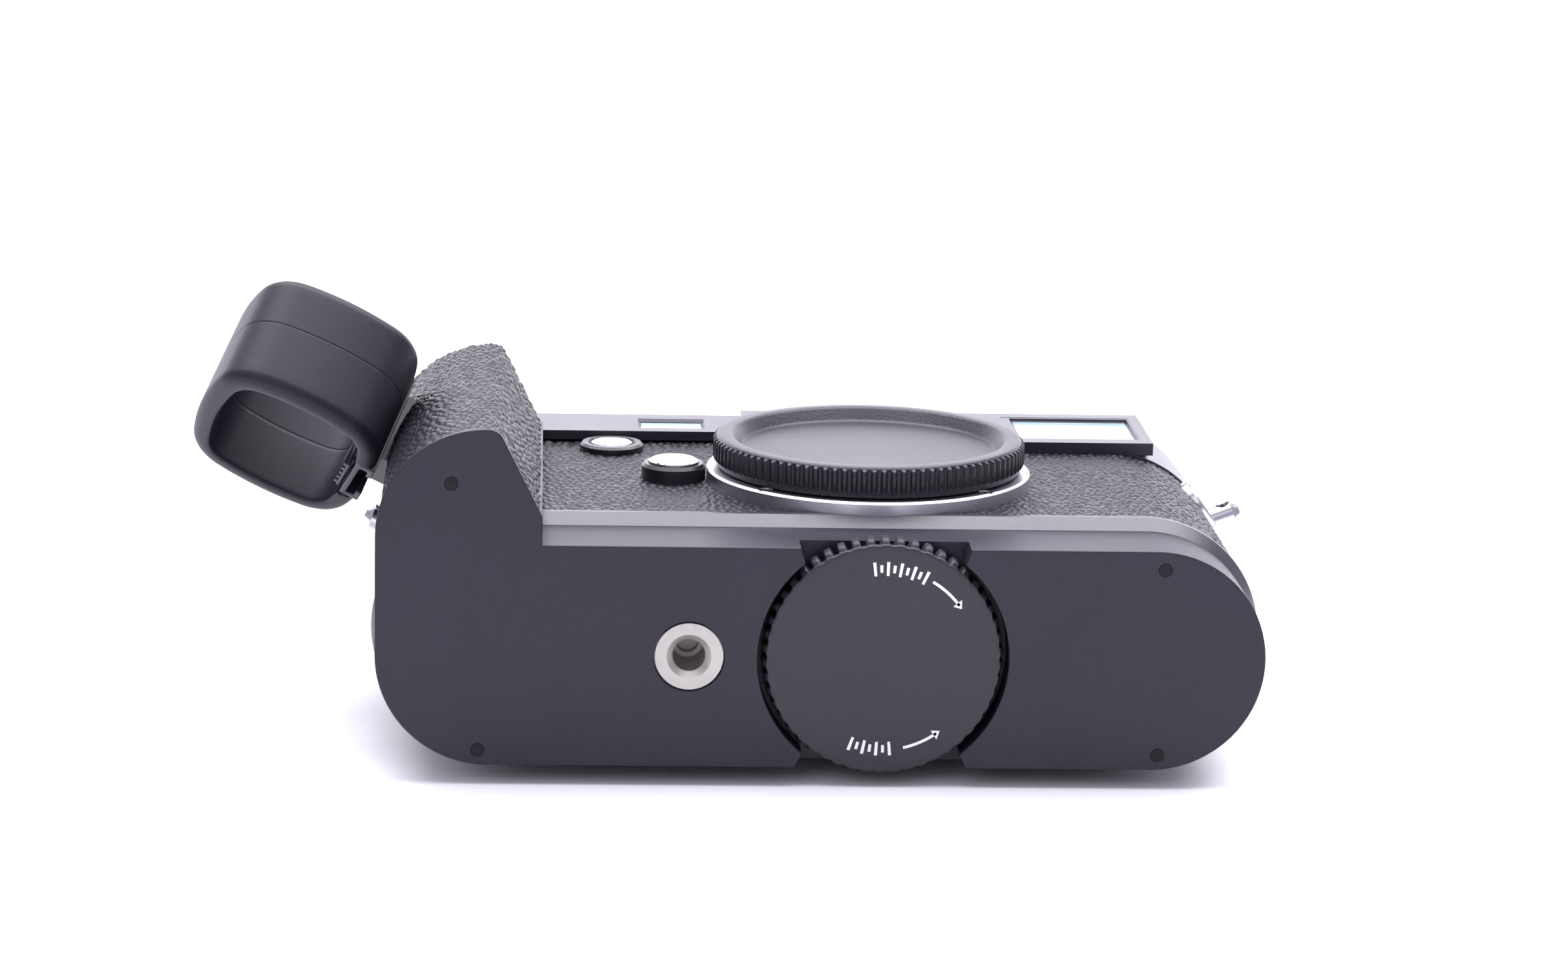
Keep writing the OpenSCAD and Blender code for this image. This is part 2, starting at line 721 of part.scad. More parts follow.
module focus_button() {
    color([0.85, 0.85, 0.86]) {
        zcyl(foc_x, foc_y, 3.4, 36.7, 40.9);
        translate([foc_x, foc_y, 40.89]) cylinder(r1 = 3.4, r2 = 3.1, h = 0.2);
        zcyl(foc_x, foc_y, 4.6, 35.8, 36.8);
    }
}

// ---- strap lugs ----------------------------------------------------------

// a shape at the right end, and its mirror image at the left end
module at_right() {
    children();
}

module at_left() {
    translate([2 * cx, 0, 0]) mirror([1, 0, 0]) children();
}

// local +X runs out along the lug, from where it leaves the leather
module lug_place(lug) {
    translate([xr + lug_seat * cos(lug[0]), lug_y, bz + lug_seat * sin(lug[0])])
        rotate([0, -lug_tilt, 0]) translate([lug[1], 0, 0]) children();
}

module lug_post(lug) {
    lug_place(lug) xcyl(0, 0, lug_r, -4.4, 3.8);
}

module lug_piece(lug) {
    difference() {
        union() {
            lug_post(lug);
            lug_place(lug) translate([3.79, 0, 0]) rotate([0, 90, 0])
                cylinder(r1 = lug_r, r2 = lug_r - 1.1, h = 1.2);
        }
        lug_place(lug) zcyl(lug_eye, 0, 1.2, -4, 4);
    }
}

module washer_disc(lug, r, z0, z1) {
    translate([xr, lug_y, bz]) rotate([0, 90 - lug[0] - washer_turn, 0]) zcyl(0, 0, r, z0, z1);
}

module washer_piece(lug) {
    difference() {
        union() {
            washer_disc(lug, washer_r, 17.6, 19.1);
            translate([xr, lug_y, bz]) rotate([0, 90 - lug[0] - washer_turn, 0])
                translate([0, 0, 19.09]) cylinder(r1 = washer_r, r2 = washer_r - 0.3, h = 0.3);
        }
        lug_post(lug);
    }
}

module lug_holes(r) {
    at_right() {
        lug_post(lug_right);
        washer_disc(lug_right, r, 17.6, 21);
    }
    at_left() {
        lug_post(lug_left);
        washer_disc(lug_left, r, 17.6, 21);
    }
}

module strap_lugs() {
    color([0.85, 0.85, 0.87]) {
        at_right() lug_piece(lug_right);
        at_left() lug_piece(lug_left);
    }
}

module lug_washers() {
    color([0.85, 0.85, 0.87]) {
        at_right() washer_piece(lug_right);
        at_left() washer_piece(lug_left);
    }
}

// ---- hand grip and base --------------------------------------------------

module grip_base() {
    color([0.16, 0.16, 0.18]) difference() {
        ex(y0, yb) base_plan();
        ycyl(0, wz, recess_r, y0 - 1, wy1 + 0.4);
        ex(y0 - 1, wy1 + 0.4) {
            slot_trap(3, 5.2, 13.5, 12.4);
            slot_trap(5.1, 12, 12.4, 12.4);
            slot_trap(30, 35.9, 12.4, 12.4);
            slot_trap(35.8, 39, 12.4, 13.4);
        }
        ycyl(0, wz, 3.05, y0, yb + 1);
        ycyl(0, wz, 14, y0 + 9, yb + 1);
        bar(-58, -38, y0 + 4, yb + 1, 8, 34);
        bar(24, 46, y0 + 4, yb + 1, 8, 34);
        ycyl(tri_x, tri_z, 5.5, y0 - 1, y0 + 11.9);
        for (p = plugs) ycyl(p[0], p[1], 1, y0 - 1, y0 + 2.2);
        ex(y0 + 1, yb + 1) intersection() {
            leather_wrap();
            translate([bxc - bump_r - 1, 31]) square([10, 8]);
        }
    }
}

// the part of the base that carries the bulge, in front of the body's face
module grip_toe() {
    color([0.16, 0.16, 0.18]) difference() {
        union() {
            ex(y0, y0 + 1) bump(0);
            ex(y0 + 0.99, yb) bump_core();
        }
        ex(y0 - 1, yb + 1) translate([bxc - 30, 0]) square([60, base_top]);
        ycyl(plugs[0][0], plugs[0][1], 1, y0 - 1, y0 + 2.2);
    }
}

module grip_core() {
    color([0.1, 0.1, 0.11]) difference() {
        ex(yb, gy1) bump_core();
        ex(yb - 1, gy1 + 1) stad(lr + 0.15, bz);
        bar(-100, -40, ly1 - 0.1, 40, 20, panel_z + 0.15);
        bar(-100, -70, lug_y - 5.2, lug_y + 5.2, 20, 38);
        multmatrix(lm) bar(-loop_hn - 5, -loop_hn - 0.2, -3.5, 3.5, -6.5, 6.5);
    }
}

module grip_leather() {
    color([0.06, 0.06, 0.07]) difference() {
        ex(y0 + 1, gy1) leather_wrap();
        bar(-100, -70, lug_y - 5.2, lug_y + 5.2, 20, 38);
        bar(-100, -40, ly1 - 0.1, 40, 20, panel_z + 0.15);
        multmatrix(lm) bar(-loop_hn - 5, -loop_hn - 0.2, -3.5, 3.5, -6.5, 6.5);
    }
}

module face_plugs() {
    color([0.2, 0.2, 0.22]) for (p = plugs) ycyl(p[0], p[1], 1, y0 + 0.05, y0 + 2.2);
}

module tripod_bush() {
    color([0.7, 0.68, 0.65]) difference() {
        union() {
            ycyl(tri_x, tri_z, 5.3, y0, y0 + 1.01);
            ycyl(tri_x, tri_z, 5.5, y0 + 1, y0 + 11.9);
        }
        ycone(tri_x, tri_z, 3.5, 2.55, y0 - 0.01, y0 + 0.95);
        ycyl(tri_x, tri_z, 2.55, y0, y0 + 9.4);
        ycyl(tri_x, tri_z, 1.8, y0 + 9, y0 + 11);
    }
}

module lock_wheel() {
    color([0.18, 0.18, 0.19]) difference() {
        union() {
            ycyl(0, wz, wheel_r - 0.55, y0, y0 + 1);
            ex(y0 + 0.8, wy1 - 0.2) translate([0, wz]) difference() {
                circle(wheel_r);
                for (i = [0:wheel_teeth - 1]) rotate(i * 360 / wheel_teeth)
                    translate([wheel_r + 0.1, 0]) circle(0.75, $fn = 4);
            }
        }
        ycyl(0, wz, 3, y0 + 3, wy1 + 1);
    }
}

module lock_shaft() {
    color([0.6, 0.6, 0.62]) {
        ycyl(0, wz, 3, y0 + 3, yb - 0.2);
        ycyl(0, wz, 5.6, y0 + 9.3, y0 + 10.3);
        ex(y0 + 10.29, yb - 1.5) {
            translate([0, wz]) circle(6);
            translate([4.5, wz]) circle(4);
        }
    }
}

// ---- finger loop ---------------------------------------------------------

module grip_rail() {
    color([0.3, 0.3, 0.32]) multmatrix(lm) {
        bar(-loop_hn - 5, -loop_hn - 0.2, -3.5, 3.5, -6.5, 6.5);
        bar(-loop_hn - 0.21, -loop_hn + 1.16, -2.4, 2.4, -6.5, 6.5);
        bar(-loop_hn + 1.15, -loop_hn + 2.2, -3.9, 3.9, -6.5, 6.5);
    }
}

module loop_band() {
    color([0.12, 0.12, 0.14]) multmatrix(lm) difference() {
        band_solid();
        bar(-loop_hn - 1, -loop_hn + loop_wall + 2, -5.2, 5.2, -loop_len / 2 - 1, 9);
    }
}

module loop_foot() {
    color([0.14, 0.14, 0.16]) multmatrix(lm) difference() {
        bar(-loop_hn, -loop_hn + loop_wall + 0.1, -5.2, 5.2, -loop_len / 2 + 0.2, 9);
        bar(-loop_hn - 1, -loop_hn + 1.05, -2.55, 2.55, -loop_len / 2 - 1, 6.7);
        bar(-loop_hn + 1, -loop_hn + 2.35, -4.05, 4.05, -loop_len / 2 - 1, 6.7);
        bar(-loop_hn + 2.3, -loop_hn + 5, -1.2, 1.2, -7.6, -6.6);
    }
}

module loop_latch() {
    color([0.1, 0.1, 0.11]) multmatrix(lm) {
        bar(-loop_hn + loop_wall + 0.7, -loop_hn + loop_wall + 1.2, -2.8, 4.2, -10.8, -5.4);
        for (i = [0:4]) bar(-loop_hn + loop_wall + 1.19, -loop_hn + loop_wall + 1.7,
            -2.6 + 1.4 * i, -1.8 + 1.4 * i, -10.6, -5.6);
        bar(-loop_hn + 2.9, -loop_hn + loop_wall + 0.71, -1.1, 1.1, -7.5, -6.7);
    }
}

chassis();
bottom_plate();
front_leather();
back_cover();
back_leather();
monitor_frame();
monitor_glass();
rear_button_1();
rear_button_2();
rear_button_3();
rear_button_4();
rear_button_5();
rear_button_6();
direction_pad();
pad_button();
thumb_wheel();
thumb_axle();
thumb_rest();
eyepiece_ring();
eyepiece_lens();
top_plate();
vf_frame();
vf_window();
rf_window();
rangefinder_block();
hot_shoe();
shoe_contacts();
shoe_screws();
dial_post();
shutter_dial();
power_switch();
shutter_button();
movie_button();
mount_ring();
mount_screws();
body_cap();
shutter_frame();
shutter_blades();
sensor();
main_board();
battery();
memory_card();
release_collar();
release_button();
focus_collar();
focus_button();
strap_lugs();
lug_washers();
grip_base();
grip_toe();
grip_core();
grip_leather();
face_plugs();
tripod_bush();
lock_wheel();
lock_shaft();
grip_rail();
loop_band();
loop_foot();
loop_latch();
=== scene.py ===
import math

import bmesh
import bpy
import numpy as np
from mathutils import Matrix, Vector


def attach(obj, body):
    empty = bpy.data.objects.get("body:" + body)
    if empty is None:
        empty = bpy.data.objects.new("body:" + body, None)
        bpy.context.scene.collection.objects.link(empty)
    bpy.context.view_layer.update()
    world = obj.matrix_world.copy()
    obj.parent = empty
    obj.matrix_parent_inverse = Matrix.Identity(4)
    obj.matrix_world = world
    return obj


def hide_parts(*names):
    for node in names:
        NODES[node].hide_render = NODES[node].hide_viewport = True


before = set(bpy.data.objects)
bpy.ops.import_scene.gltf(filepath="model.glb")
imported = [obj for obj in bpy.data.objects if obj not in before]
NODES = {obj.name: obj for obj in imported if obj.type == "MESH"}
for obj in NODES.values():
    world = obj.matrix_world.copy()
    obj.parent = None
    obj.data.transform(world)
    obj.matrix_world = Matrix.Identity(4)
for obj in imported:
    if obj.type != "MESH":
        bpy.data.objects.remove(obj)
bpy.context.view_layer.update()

# The looks of a rangefinder camera on its back, in metres, in the CAD's frame:
# X towards the viewfinder window, Y towards the top plate, Z out of the lens.
MM = 0.001
REAR_KEYS = ["rear_button_%d" % key for key in range(1, 7)]
SHADE_STOPS = (0.3, 0.7)


# ---- shaders ------------------------------------------------------------------------

def surface(name, color, rough, metallic=0.0, **sockets):
    """A Principled material. Uniform values go straight on the shader's own sockets."""
    mat = bpy.data.materials.new(name)
    mat.use_nodes = True
    shader = mat.node_tree.nodes["Principled BSDF"]
    shader.inputs["Base Color"].default_value = (*color, 1.0)
    shader.inputs["Roughness"].default_value = rough
    shader.inputs["Metallic"].default_value = metallic
    for key, value in sockets.items():
        shader.inputs[key.replace("_", " ")].default_value = value
    return mat


def add_node(mat, kind, **values):
    """A shader node, with values for its inputs or its own settings."""
    node = mat.node_tree.nodes.new(kind)
    for key, value in values.items():
        if key in node.inputs:
            node.inputs[key].default_value = value
        else:
            setattr(node, key, value)
    return node


def join(mat, source, out, target, into):
    mat.node_tree.links.new(source.outputs[out], target.inputs[into])


def object_space(mat, stretch):
    """Coordinates that stay on the object, with a scale for each axis."""
    where = add_node(mat, "ShaderNodeTexCoord")
    mapping = add_node(mat, "ShaderNodeMapping")
    mapping.inputs["Scale"].default_value = stretch
    join(mat, where, "Object", mapping, "Vector")
    return mapping


def ramp(mat, source, low, high):
    """Turns a noise into a colour between two shades."""
    node = add_node(mat, "ShaderNodeValToRGB")
    for stop, at, shade in zip(node.color_ramp.elements, SHADE_STOPS, (low, high)):
        stop.position = at
        stop.color = (*shade, 1.0)
    join(mat, source, "Fac", node, "Fac")
    return node


def spread(mat, source, low, high):
    """Turns a noise into a value between two limits."""
    node = add_node(mat, "ShaderNodeMapRange")
    node.inputs["To Min"].default_value = low
    node.inputs["To Max"].default_value = high
    join(mat, source, "Fac", node, "Value")
    return node


def grain(mat, scale, depth, rough, shades, stretch=(1, 1, 1), patch=60.0):
    """Fine grain in the surface, with slow patches of colour and roughness over it."""
    shader = mat.node_tree.nodes["Principled BSDF"]
    place = object_space(mat, stretch)
    fine = add_node(mat, "ShaderNodeTexNoise", Scale=scale, Detail=3.0, Roughness=0.6)
    slow = add_node(mat, "ShaderNodeTexNoise", Scale=patch, Detail=4.0, Roughness=0.55)
    join(mat, place, "Vector", fine, "Vector")
    join(mat, place, "Vector", slow, "Vector")
    tint = ramp(mat, slow, *shades)
    join(mat, tint, "Color", shader, "Base Color")
    shine = spread(mat, slow, *rough)
    join(mat, shine, "Result", shader, "Roughness")
    bump = add_node(mat, "ShaderNodeBump", Strength=1.0, Distance=depth)
    join(mat, fine, "Fac", bump, "Height")
    join(mat, bump, "Normal", shader, "Normal")
    return mat


def around(color, amount):
    """A slightly darker and a slightly lighter shade of a colour."""
    return tuple(c * (1 - amount) for c in color), tuple(c * (1 + amount) for c in color)


def painted(name, color, rough, depth=0.00002, scale=9000.0, amount=0.12, **sockets):
    """Paint, plastic or rubber: one colour with a fine grain."""
    mat = surface(name, color, sum(rough) / 2, **sockets)
    return grain(mat, scale, depth, rough, around(color, amount))


BASE_PAINT = painted("base_paint", (0.010, 0.0092, 0.018), (0.38, 0.48),
                     Specular_IOR_Level=0.34)
BODY_PAINT = painted("body_paint", (0.016, 0.015, 0.024), (0.28, 0.38),
                     Specular_IOR_Level=0.6)
WHEEL_PAINT = painted("wheel_paint", (0.018, 0.017, 0.023), (0.40, 0.50),
                      Specular_IOR_Level=0.38)
LEATHER = painted("leatherette", (0.006, 0.006, 0.010), (0.34, 0.46), 0.00003, 4500.0, 0.25,
                  Specular_IOR_Level=0.34)
CAP_RIM = painted("cap_rim", (0.012, 0.012, 0.018), (0.32, 0.42), 0.00006, 2200.0,
                  Specular_IOR_Level=0.4)
RUBBER = painted("loop_rubber", (0.007, 0.0065, 0.013), (0.42, 0.54), 0.00002, 5000.0,
                 Specular_IOR_Level=0.3)
HARD_PLASTIC = painted("hard_plastic", (0.013, 0.012, 0.019), (0.34, 0.44))
BLACK_METAL = painted("black_metal", (0.010, 0.010, 0.014), (0.24, 0.32))
BUTTON_BLACK = painted("button_black", (0.014, 0.014, 0.019), (0.26, 0.36))
DARK_WELL = painted("dark_well", (0.004, 0.004, 0.006), (0.50, 0.60),
                    Specular_IOR_Level=0.25)
SATIN = grain(surface("satin_chrome", (0.55, 0.55, 0.59), 0.34, 1.0), 7000.0, 0.000006,
              (0.30, 0.40), ((0.50, 0.50, 0.54), (0.60, 0.60, 0.64)))
POLISHED = grain(surface("polished_chrome", (0.50, 0.50, 0.52), 0.20, 1.0), 2000.0, 0.000004,
                 (0.16, 0.26), ((0.46, 0.46, 0.48), (0.56, 0.56, 0.58)))
SILVER = grain(surface("button_silver", (0.52, 0.52, 0.55), 0.3, 1.0), 6000.0, 0.000005,
               (0.26, 0.34), ((0.48, 0.48, 0.51), (0.58, 0.58, 0.61)))
BUSH = grain(surface("bush_steel", (0.42, 0.40, 0.38), 0.45, 0.9), 12000.0, 0.00003,
             (0.40, 0.52), ((0.34, 0.32, 0.30), (0.50, 0.48, 0.45)))
STEEL = grain(surface("steel", (0.50, 0.50, 0.52), 0.35, 1.0), 3000.0, 0.00001,
              (0.28, 0.42), ((0.45, 0.45, 0.47), (0.55, 0.55, 0.57)), (1, 12, 1))
SHOE = grain(surface("shoe_steel", (0.14, 0.14, 0.15), 0.3, 1.0), 3000.0, 0.00001,
             (0.24, 0.36), ((0.11, 0.11, 0.12), (0.18, 0.18, 0.19)), (12, 1, 1))
BRASS = grain(surface("brass", (0.75, 0.56, 0.26), 0.3, 1.0), 3000.0, 0.00001,
              (0.2, 0.35), ((0.68, 0.50, 0.22), (0.80, 0.62, 0.32)))
INNER = painted("inner_alloy", (0.16, 0.16, 0.17), (0.45, 0.6))
BOARD = painted("board_green", (0.03, 0.16, 0.07), (0.3, 0.4))
PRINT = painted("white_print", (0.72, 0.72, 0.77), (0.45, 0.55), 0.00001, 4000.0, 0.03)
WINDOW = grain(surface("window_glass", (0.32, 0.43, 0.46), 0.06, 0.0), 600.0, 0.000001,
               (0.04, 0.09), ((0.28, 0.39, 0.42), (0.37, 0.48, 0.51)))
SCREEN = grain(surface("screen_glass", (0.006, 0.006, 0.009), 0.05, 0.0), 600.0, 0.000001,
               (0.03, 0.07), ((0.005, 0.005, 0.007), (0.008, 0.008, 0.011)))
SENSOR = grain(surface("sensor_glass", (0.10, 0.18, 0.20), 0.08, 0.0), 600.0, 0.000001,
               (0.05, 0.1), ((0.08, 0.15, 0.18), (0.12, 0.20, 0.22)))

FINISHES = (
    (BODY_PAINT, "chassis back_cover thumb_rest top_plate vf_frame"),
    (BASE_PAINT, "grip_base grip_toe"),
    (WHEEL_PAINT, "lock_wheel"),
    (LEATHER, "front_leather back_leather grip_leather"),
    (CAP_RIM, "body_cap"),
    (RUBBER, "loop_band"),
    (HARD_PLASTIC, "monitor_frame shutter_frame battery grip_core loop_foot loop_latch"),
    (BLACK_METAL, "bottom_plate thumb_wheel eyepiece_ring shutter_dial power_switch "
                  "release_collar focus_collar grip_rail"),
    (BUTTON_BLACK, "direction_pad pad_button movie_button memory_card " + " ".join(REAR_KEYS)),
    (DARK_WELL, "face_plugs"),
    (SATIN, "mount_ring"),
    (POLISHED, "strap_lugs lug_washers"),
    (SILVER, "shutter_button release_button focus_button"),
    (BUSH, "tripod_bush"),
    (STEEL, "thumb_axle shoe_screws dial_post mount_screws lock_shaft"),
    (SHOE, "hot_shoe shutter_blades"),
    (BRASS, "shoe_contacts"),
    (INNER, "rangefinder_block"),
    (BOARD, "main_board"),
    (WINDOW, "eyepiece_lens vf_window rf_window"),
    (SCREEN, "monitor_glass"),
    (SENSOR, "sensor"),
)
FINISH = {name: mat for mat, names in FINISHES for name in names.split()}

for name, node in NODES.items():
    node.data.materials.clear()
    node.data.materials.append(FINISH[name])


# ---- edges of the CAD nodes ---------------------------------------------------------

BEVEL_SEGMENTS = 3
BEVEL_ANGLE = math.radians(38)


def weigh_normals(piece, keep_sharp=False):
    """Shades the large faces flat and lets the narrow ones turn the corner."""
    normal = piece.modifiers.new("normals", "WEIGHTED_NORMAL")
    normal.weight = 100
    normal.keep_sharp = keep_sharp


def soften(name, width):
    """Rounds a CAD node's edges with modifiers; its own mesh stays as it is."""
    node = NODES[name]
    node.data.polygons.foreach_set("use_smooth", [True] * len(node.data.polygons))
    if "custom_normal" in node.data.attributes:
        node.data.attributes.remove(node.data.attributes["custom_normal"])
    weld = node.modifiers.new("weld", "WELD")
    weld.merge_threshold = 0.002 * MM
    bevel = node.modifiers.new("edges", "BEVEL")
    bevel.width = width * MM
    bevel.segments = BEVEL_SEGMENTS
    bevel.limit_method = "ANGLE"
    bevel.angle_limit = BEVEL_ANGLE
    bevel.use_clamp_overlap = True
    bevel.miter_outer = "MITER_ARC"
    weigh_normals(node)


# ---- mesh pieces --------------------------------------------------------------------

def place_piece(name, mesh, mat, body, stands_for, smooth):
    """Puts a finished mesh in the scene, to ride on a body and stand for CAD nodes."""
    mesh.polygons.foreach_set("use_smooth", [smooth] * len(mesh.polygons))
    mesh.materials.append(mat)
    piece = bpy.data.objects.new(name, mesh)
    bpy.context.scene.collection.objects.link(piece)
    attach(piece, body)
    if stands_for:
        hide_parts(*stands_for)
    return piece


def make(name, verts, faces, mat, body, stands_for=(), smooth=True):
    """A piece from points in millimetres."""
    mesh = bpy.data.meshes.new(name)
    mesh.from_pydata((np.asarray(verts, float) * MM).tolist(), [], faces)
    mesh.validate()
    return place_piece(name, mesh, mat, body, stands_for, smooth)


PEBBLE_SIZE = (1.25, 1.9)
PEBBLE_JITTER, PEBBLE_GROOVE = 0.85, 0.42
PEBBLE_DOME, PEBBLE_LOW, PEBBLE_RISE = 0.35, 0.72, 0.28
NEAR_CELLS = (-2, -1, 0, 1, 2)


def pebble(u, v, seed):
    """Leather height from 0 in the grooves to 1 on the crowns, at points u, v in millimetres.

    The crowns are the cells round jittered points, in a brick pattern. A hash of each cell's
    column and row gives its jitter and its height."""
    gu, gv = u / PEBBLE_SIZE[0], v / PEBBLE_SIZE[1]
    rows = np.floor(gv).astype(int)
    best = np.full(u.shape, 9.0)
    second = np.full(u.shape, 9.0)
    tall = np.zeros(u.shape)
    for dv in NEAR_CELLS:
        row = rows + dv
        shift = 0.5 * (row % 2)
        col0 = np.floor(gu - shift).astype(int)
        for du in NEAR_CELLS:
            col = col0 + du
            mix = (col * 73856093) ^ (row * 19349663) ^ (seed * 83492791)
            mix = (mix ^ (mix >> 13)) * 1274126177 & 0x7FFFFFFF
            jump_u = (mix % 1009) / 1009.0 - 0.5
            jump_v = (mix // 1009 % 997) / 997.0 - 0.5
            rise = (mix // 1005973 % 499) / 499.0
            pu = col + shift + 0.5 + PEBBLE_JITTER * jump_u
            pv = row + 0.5 + PEBBLE_JITTER * jump_v
            gap = np.hypot(gu - pu, gv - pv)
            nearer = gap < best
            second = np.where(nearer, best, np.minimum(second, gap))
            tall = np.where(nearer, rise, tall)
            best = np.where(nearer, gap, best)
    edge = np.clip((second - best) / PEBBLE_GROOVE, 0, 1)
    crown = edge * edge * (3 - 2 * edge)
    dome = 1 - PEBBLE_DOME * np.clip(best, 0, 1) ** 2
    return crown * (PEBBLE_LOW + PEBBLE_RISE * tall) * dome


HIDE_DEPTH, HIDE_STEP, HIDE_SKIRT = 0.34, 0.3, 0.55  # of the grooves, cells and side walls


def along_y(a, b, v):
    """Points of a sheet that runs along a path of x, z points and up the y axis."""
    return np.stack([a, v, b], -1)


def hide_of(name, node, path, normals, y_range, keep, seed):
    """Leather on a path of (x, z) points, with height from the pebble pattern.

    keep(x, z, y) says which cells stay. normals point out of the leather."""
    run = np.concatenate([[0], np.cumsum(np.hypot(*np.diff(path, axis=0).T))])
    at = np.linspace(0, run[-1], int(run[-1] / HIDE_STEP) + 1)
    line = np.stack([np.interp(at, run, path[:, 0]), np.interp(at, run, path[:, 1])], 1)
    norm = np.stack([np.interp(at, run, normals[:, 0]), np.interp(at, run, normals[:, 1])], 1)
    norm /= np.hypot(*norm.T)[:, None]
    rise = np.linspace(*y_range, int((y_range[1] - y_range[0]) / HIDE_STEP) + 1)
    uu, vv = np.meshgrid(at, rise, indexing="ij")

    def sunk(depth):
        return along_y(line[:, 0][:, None] - norm[:, 0][:, None] * depth + 0 * vv,
                       line[:, 1][:, None] - norm[:, 1][:, None] * depth + 0 * vv,
                       vv).reshape(-1, 3)

    points = np.concatenate([sunk(HIDE_DEPTH * (1 - pebble(uu, vv, seed))), sunk(HIDE_SKIRT)])
    middle = (line[:-1] + line[1:]) / 2
    middle_y = (rise[:-1] + rise[1:])[None, :] / 2
    cell_x, cell_z = (middle[:, k][:, None] + 0 * middle_y for k in (0, 1))
    i, j = np.nonzero(keep(cell_x, cell_z, middle_y + 0 * cell_x))
    rows = len(rise)
    corner = i * rows + j
    quads = np.stack([corner, corner + rows, corner + rows + 1, corner + 1], 1)
    # the skirt: every edge that has a face on one side only goes straight down
    total = len(points) // 2
    starts = quads.ravel()
    ends = np.roll(quads, -1, axis=1).ravel()
    lone = ~np.isin(starts * total + ends, ends * total + starts)
    s, e = starts[lone], ends[lone]
    faces = np.concatenate([quads, np.stack([e, s, s + total, e + total], 1)])
    used, flat = np.unique(faces, return_inverse=True)
    make(name, points[used], flat.reshape(faces.shape).tolist(), LEATHER, "camera",
         (node,))


def arc(cx, cz, radius, start, end, count):
    """Points and outward normals of an arc between two angles in degrees."""
    turn = np.radians(np.linspace(start, end, count))
    ring = np.stack([np.cos(turn), np.sin(turn)], 1)
    return np.array([cx, cz]) + radius * ring, ring


# sizes of the CAD in millimetres
BASE_Y = -42.42                              # the outer face of the base
END_LEFT, END_RIGHT = -61.18, 42.22          # the centres of the body's two round ends
BODY_Z, LEATHER_R = 21.25, 18.65
GRIP_X, GRIP_Z, GRIP_R = -61.70, 39.40, 17.08
SHOULDER, SHOULDER_R = (-61.51, 53.88), 2.6  # the round top edge of the grip's bulge
CLIFF = (0.8968, 0.4424)                     # the normal of the bulge's steep side
GRIP_FOOT_X, BASE_TOP = -53.08, 38.4         # where the bulge leaves the flat base
WHEEL_Z = 20.75

# what the leather leaves free: (x, y, radius) and (x, y, half width, half height)
FRONT_HOLES = ((0, 0, 26.1), (-31.8, 0.08, 5.0), (-41.55, 21.7, 5.1))
LUG_TURNS = ((END_RIGHT, 36.0), (END_LEFT, 149.5))
LUG_Y, LUG_CLEAR, LUG_NOTCH = 17.6, 4.55, (12.4, 22.8)
PLATE_STEP_X, PLATE_STEP_Y = 13.7, 22.1      # the top plate comes lower beyond this x
GRIP_SIDE_X, GRIP_LOW_Z = -53.6, 33.0        # the grip covers the body beyond these
PAD_HOLE = (-46, -3, 9.4)
BACK_WINDOWS = [(0, -1.1, 33.1, 23.1), (-52.5, 19.9, 6.9, 3.3)]
BACK_WINDOWS += [(37.1, y, 3.3, 2.6) for y in (-20.3, -12.8, -5.3, 2.2, 9.7, 17.2)]
LEATHER_LOW_Y = -24.9
GRIP_INSET = 0.2
ARC_STEPS = 130


def outside(x, y, hole):
    """True where a point is clear of a round hole."""
    return np.hypot(x - hole[0], y - hole[1]) > hole[2]


def front_leather():
    """The leather round the front and both ends of the body."""
    left, left_n = arc(END_LEFT, BODY_Z, LEATHER_R, 268.5, 90, ARC_STEPS)
    right, right_n = arc(END_RIGHT, BODY_Z, LEATHER_R, 90, -88.5, ARC_STEPS)

    def keep(x, z, y):
        ok = (x < PLATE_STEP_X) | (y < PLATE_STEP_Y)
        for hole in FRONT_HOLES:
            ok &= outside(x, y, hole)
        ok &= ~((x < GRIP_SIDE_X) & (z > GRIP_LOW_Z))
        for end_x, turn in LUG_TURNS:
            lug_x = end_x + LEATHER_R * math.cos(math.radians(turn))
            lug_z = BODY_Z + LEATHER_R * math.sin(math.radians(turn))
            ok &= np.sqrt((x - lug_x) ** 2 + (z - lug_z) ** 2 + (y - LUG_Y) ** 2) > LUG_CLEAR
        return ok

    hide_of("leather_front", "front_leather", np.concatenate([left, right]),
            np.concatenate([left_n, right_n]), (LEATHER_LOW_Y, 27.15), keep, seed=3)


def grip_leather():
    """The leather over the grip, from the steep side round the bulge to the end."""
    foot = np.array([[-53.15 - GRIP_INSET * CLIFF[0], 42.8]])
    shoulder, shoulder_n = arc(*SHOULDER, SHOULDER_R - GRIP_INSET, 26.26, 90, 14)
    side, side_n = arc(GRIP_X, GRIP_Z, GRIP_R - GRIP_INSET, 90, 180, 60)
    end = np.array([[GRIP_X - GRIP_R + GRIP_INSET, 31.6]])

    def keep(x, z, y):
        lug_notch = (y > LUG_NOTCH[0]) & (y < LUG_NOTCH[1]) & (z < 38.0) & (x < -70)
        beside_plate = (y >= 27.1) & (z <= 41.8)
        return ~lug_notch & ~beside_plate

    hide_of("leather_grip", "grip_leather", np.concatenate([foot, shoulder, side, end]),
            np.concatenate([[CLIFF], shoulder_n, side_n, [[-1, 0]]]), (-41.35, 28.5), keep,
            seed=11)


